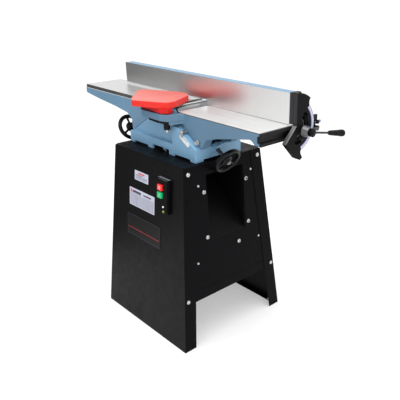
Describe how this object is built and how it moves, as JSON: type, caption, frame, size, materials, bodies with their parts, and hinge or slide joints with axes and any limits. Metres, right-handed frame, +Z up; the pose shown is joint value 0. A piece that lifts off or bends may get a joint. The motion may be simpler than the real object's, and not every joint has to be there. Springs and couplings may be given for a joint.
{
  "type": "surface planer",
  "caption": "Small jointer-planer: two inclined-way tables, rotating cutterhead, swinging guard and tilting fence on a folded sheet stand with a motor and chip chute.",
  "frame": {"origin": "middle of the stand's footprint, on the floor", "axes": "+X along the tables towards the infeed end, +Y towards the fence side at the back, +Z up"},
  "size_m": [1.1458, 0.508, 0.965],
  "materials": {
    "stand_black": "fine textured powder coat, satin",
    "casting_blue": "smooth machine paint, gloss",
    "outfeed_paint": "painted casting with a ground top",
    "infeed_paint": "painted casting with a ground top",
    "guard_red": "gloss enamel",
    "fence_iron": "ground face, painted back",
    "fence_black": "satin black",
    "rail_steel": "blackened bar",
    "bright_steel": "bright turned steel",
    "head_steel": "ground steel",
    "bearing_steel": "ground steel",
    "fastener_black": "black oxide",
    "handwheel_black": "gloss black enamel",
    "screw_steel": "rolled thread",
    "grip_black": "ribbed, satin",
    "belt_rubber": "matt",
    "motor_grey": "satin",
    "pulley_iron": "machined",
    "switch_plastic": "fine texture",
    "button_red": "gloss",
    "button_green": "gloss",
    "lamp_white": "translucent",
    "plate_pale": "plain printed aluminium",
    "plate_dark": "plain dark aluminium",
    "scale_silver": "etched",
    "band_silver": "etched",
    "pin_steel": "blued"
  },
  "bodies": {
    "stand_and_base": {"front_panel": "stand_black", "back_panel": "stand_black", "right_side_panel": "stand_black", "left_side_panel": "stand_black", "lower_rail_right": "stand_black", "lower_rail_left": "stand_black", "chip_chute": "stand_black", "motor_shelf": "stand_black", "motor_fan_cover": "motor_grey", "motor_housing": "motor_grey", "drive_belt": "belt_rubber", "base_casting": "casting_blue", "top_plate": "stand_black", "base_bolts": "bright_steel", "head_bearings": "bearing_steel", "depth_scale_plate": "scale_silver", "belt_cover": "casting_blue", "switch_box": "switch_plastic", "switch_escutcheon": "switch_plastic", "pilot_lamp": "lamp_white", "info_plates": "plate_pale", "name_plate": "plate_dark", "chute_screws": "bright_steel", "stand_screws": "bright_steel"},
    "motor_rotor": {"motor_shaft": "bright_steel", "motor_pulley": "pulley_iron"},
    "cutter_head": {"cutterhead": "head_steel", "cutter_knives": "bright_steel", "knife_wedges": "head_steel", "cutterhead_pulley": "pulley_iron"},
    "outfeed": {"outfeed_table": "outfeed_paint", "outfeed_gib": "head_steel", "outfeed_lock_bolt": "bright_steel"},
    "outfeed_wheel": {"outfeed_handwheel": "handwheel_black", "outfeed_screw": "screw_steel", "outfeed_handwheel_nut": "bright_steel"},
    "infeed": {"infeed_table": "infeed_paint", "infeed_gib": "head_steel", "infeed_lock_bolt": "bright_steel", "depth_pointer": "bright_steel", "guard_post": "bright_steel", "guard_spring_housing": "handwheel_black", "guard_spring_screw": "bright_steel", "end_rail": "rail_steel"},
    "infeed_wheel": {"infeed_handwheel": "handwheel_black", "infeed_screw": "screw_steel", "infeed_handwheel_nut": "bright_steel"},
    "guard": {"cutter_guard": "guard_red"},
    "carriage": {"fence_carriage": "rail_steel", "tilt_stop_bolt": "bright_steel", "index_plunger": "pin_steel", "tilt_pointer": "fastener_black"},
    "fence_tilt_body": {"fence": "fence_iron", "fence_quadrant": "fence_black", "tilt_scale_band": "band_silver"},
    "lever": {"lock_lever": "bright_steel", "lever_grip": "grip_black", "lock_cone_washer": "bright_steel"},
    "stop_button_body": {"stop_button": "button_red"},
    "start_button_body": {"start_button": "button_green"}
  },
  "joints": [
    {"name": "motor_spin", "type": "hinge", "parent": "stand_and_base", "child": "motor_rotor", "pos_m": [-0.06, 0, 0.3], "axis": [0, 1, 0], "continuous": true},
    {"name": "cutterhead_spin", "type": "hinge", "parent": "stand_and_base", "child": "cutter_head", "pos_m": [0.035, 0, 0.842], "axis": [0, 1, 0], "continuous": true},
    {"name": "infeed_height", "type": "slide", "parent": "stand_and_base", "child": "infeed", "axis": [-0.848, 0, 0.5299], "range_m": [0, 0.0264]},
    {"name": "infeed_wheel_turn", "type": "hinge", "parent": "stand_and_base", "child": "infeed_wheel", "pos_m": [0.256, -0.022, 0.702], "axis": [0.848, 0, -0.5299], "range_deg": [-1, 2377]},
    {"name": "outfeed_height", "type": "slide", "parent": "stand_and_base", "child": "outfeed", "axis": [-0.848, 0, -0.5299], "range_m": [0, 0.006]},
    {"name": "outfeed_wheel_turn", "type": "hinge", "parent": "outfeed", "child": "outfeed_wheel", "pos_m": [-0.304, -0.053, 0.725], "axis": [-0.848, 0, -0.5299], "range_deg": [-1, 541]},
    {"name": "guard_swing", "type": "hinge", "parent": "infeed", "child": "guard", "pos_m": [0.065, -0.134, 0.886], "axis": [0, 0, 1], "range_deg": [0, 60], "stiffness_Nm_per_rad": 1},
    {"name": "fence_traverse", "type": "slide", "parent": "infeed", "child": "carriage", "axis": [0, 1, 0], "range_m": [0, 0.025]},
    {"name": "fence_tilt", "type": "hinge", "parent": "carriage", "child": "fence_tilt_body", "pos_m": [0.5037, 0.043, 0.86], "axis": [1, 0, 0], "range_deg": [-45, 30]},
    {"name": "lock_lever_turn", "type": "hinge", "parent": "carriage", "child": "lever", "pos_m": [0.512, 0.0849, 0.8387], "axis": [1, 0, 0], "range_deg": [-30, 60]},
    {"name": "stop_press", "type": "slide", "parent": "stand_and_base", "child": "stop_button_body", "axis": [0, 0.9952, -0.0981], "range_m": [0, 0.004], "stiffness_N_per_m": 300},
    {"name": "start_press", "type": "slide", "parent": "stand_and_base", "child": "start_button_body", "axis": [0, 0.9952, -0.0981], "range_m": [0, 0.004], "stiffness_N_per_m": 300}
  ],
  "couplings": [
    {"joint": "motor_spin", "follows": "cutterhead_spin", "ratio": 0.47305},
    {"joint": "infeed_wheel_turn", "follows": "infeed_height", "rad_per_m": 1570.8},
    {"joint": "outfeed_wheel_turn", "follows": "outfeed_height", "rad_per_m": 1570.8}
  ]
}
